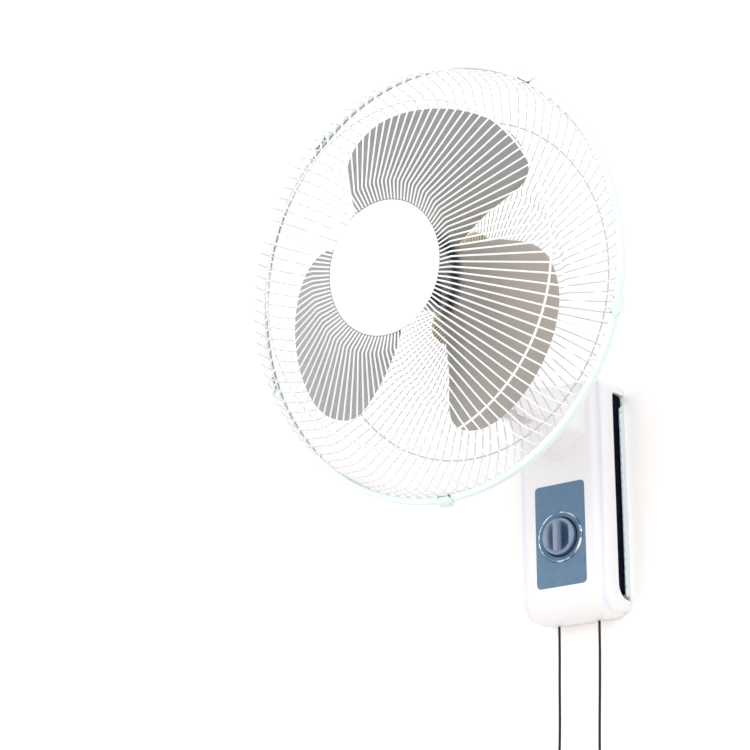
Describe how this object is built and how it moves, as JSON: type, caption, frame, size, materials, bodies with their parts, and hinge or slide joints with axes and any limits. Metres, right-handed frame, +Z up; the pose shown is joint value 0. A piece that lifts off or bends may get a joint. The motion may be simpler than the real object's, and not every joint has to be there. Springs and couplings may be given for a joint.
{
  "type": "wall mounted fan",
  "caption": "Wall mounted fan with a round wire guard, smoky blades, a tilting and swinging head, and a wall base with a control knob and pull cords.",
  "frame": {"origin": "centre of the wall plate's back face, which lies on the wall", "axes": "+X to the right of someone facing the fan, +Y into the wall, +Z up; the fan faces -Y"},
  "size_m": [0.458, 0.3725, 0.787],
  "materials": {
    "white_housing": "smooth moulded plastic",
    "black_tray": "fine grain moulded plastic",
    "panel_blue": "satin printed sheet",
    "knob_blue": "satin moulded plastic",
    "bezel_silver": "bright ring",
    "smoke_blade": "smoky clear plastic",
    "white_wire": "white powder coat",
    "aqua_rim": "pale aqua plastic",
    "steel": "plain steel",
    "zinc": "yellow zinc plating",
    "cord_black": "braided cord",
    "pull_black": "moulded plastic",
    "inner_grey": "moulded plastic",
    "stator": "varnished laminations and copper"
  },
  "bodies": {
    "base": {"wall_plate": "steel", "back_tray": "black_tray", "base_cover": "white_housing", "cover_screws": "steel", "capacitor": "inner_grey", "terminal_block": "inner_grey", "mains_gland": "pull_black", "swing_pull_switch": "inner_grey", "speed_pull_switch": "inner_grey", "cord_eyelets": "pull_black", "control_panel": "panel_blue", "knob_bezel": "bezel_silver", "rotary_switch": "inner_grey", "neck": "white_housing", "neck_screws": "steel"},
    "knob": {"control_knob": "knob_blue"},
    "speed_pull": {"speed_cord": "cord_black", "speed_pull_knob": "pull_black"},
    "swing_pull": {"swing_cord": "cord_black", "swing_pull_knob": "pull_black"},
    "swivel": {"swing_turret": "white_housing", "swing_post": "steel", "post_clip": "steel", "tilt_bolt": "steel", "tilt_nut": "steel"},
    "head": {"motor_cover": "white_housing", "motor_front_plate": "zinc", "motor_screws": "steel", "motor_stator": "stator", "motor_bearings": "steel", "guard_centre_plate": "white_wire", "guard_nut": "white_housing", "rear_guard_wires": "white_wire", "rear_guard_ring": "white_wire", "rim_band": "aqua_rim", "front_guard_wires": "white_wire", "front_guard_ring": "white_wire", "guard_disc": "white_housing", "rim_clip_seats": "aqua_rim"},
    "fan": {"impeller": "smoke_blade", "blade_nut": "white_housing", "motor_shaft": "steel", "motor_rotor": "steel"},
    "clip_1": {"rim_clip_1": "aqua_rim"},
    "clip_2": {"rim_clip_2": "aqua_rim"},
    "clip_3": {"rim_clip_3": "aqua_rim"},
    "clip_4": {"rim_clip_4": "aqua_rim"},
    "clip_5": {"rim_clip_5": "aqua_rim"}
  },
  "joints": [
    {"name": "head_swing", "type": "hinge", "parent": "base", "child": "swivel", "pos_m": [0, -0.1495, 0.107], "axis": [0, 0, 1], "range_deg": [-40, 40]},
    {"name": "head_tilt", "type": "hinge", "parent": "swivel", "child": "head", "pos_m": [0, -0.1495, 0.131], "axis": [1, 0, 0], "range_deg": [-10, 15]},
    {"name": "blade_spin", "type": "hinge", "parent": "head", "child": "fan", "pos_m": [0, -0.2751, 0.1812], "axis": [0, -0.9934, -0.1149], "continuous": true},
    {"name": "knob_turn", "type": "hinge", "parent": "base", "child": "knob", "pos_m": [0, -0.05, -0.0418], "axis": [0, -1, 0], "range_deg": [0, 270]},
    {"name": "speed_pull_down", "type": "slide", "parent": "base", "child": "speed_pull", "axis": [0, 0, -1], "range_m": [0, 0.01], "stiffness_N_per_m": 300, "springref_m": -0.003},
    {"name": "swing_pull_down", "type": "slide", "parent": "base", "child": "swing_pull", "axis": [0, 0, -1], "range_m": [0, 0.01], "stiffness_N_per_m": 300, "springref_m": -0.003},
    {"name": "clip_1_open", "type": "hinge", "parent": "head", "child": "clip_1", "pos_m": [0.13962, -0.2954, 0.36537], "axis": [-0.7986, -0.0692, 0.5978], "range_deg": [0, 40]},
    {"name": "clip_2_open", "type": "hinge", "parent": "head", "child": "clip_2", "pos_m": [-0.13307, -0.29595, 0.3701], "axis": [-0.8192, 0.0659, -0.5698], "range_deg": [0, 40]},
    {"name": "clip_3_open", "type": "hinge", "parent": "head", "child": "clip_3", "pos_m": [-0.22186, -0.26631, 0.11393], "axis": [0.2924, 0.1099, -0.95], "range_deg": [0, 40]},
    {"name": "clip_4_open", "type": "hinge", "parent": "head", "child": "clip_4", "pos_m": [-0.00405, -0.24745, -0.04912], "axis": [0.9998, 0.002, -0.0173], "range_deg": [0, 40]},
    {"name": "clip_5_open", "type": "hinge", "parent": "head", "child": "clip_5", "pos_m": [0.21936, -0.26543, 0.10628], "axis": [0.3256, -0.1087, 0.9393], "range_deg": [0, 40]}
  ]
}
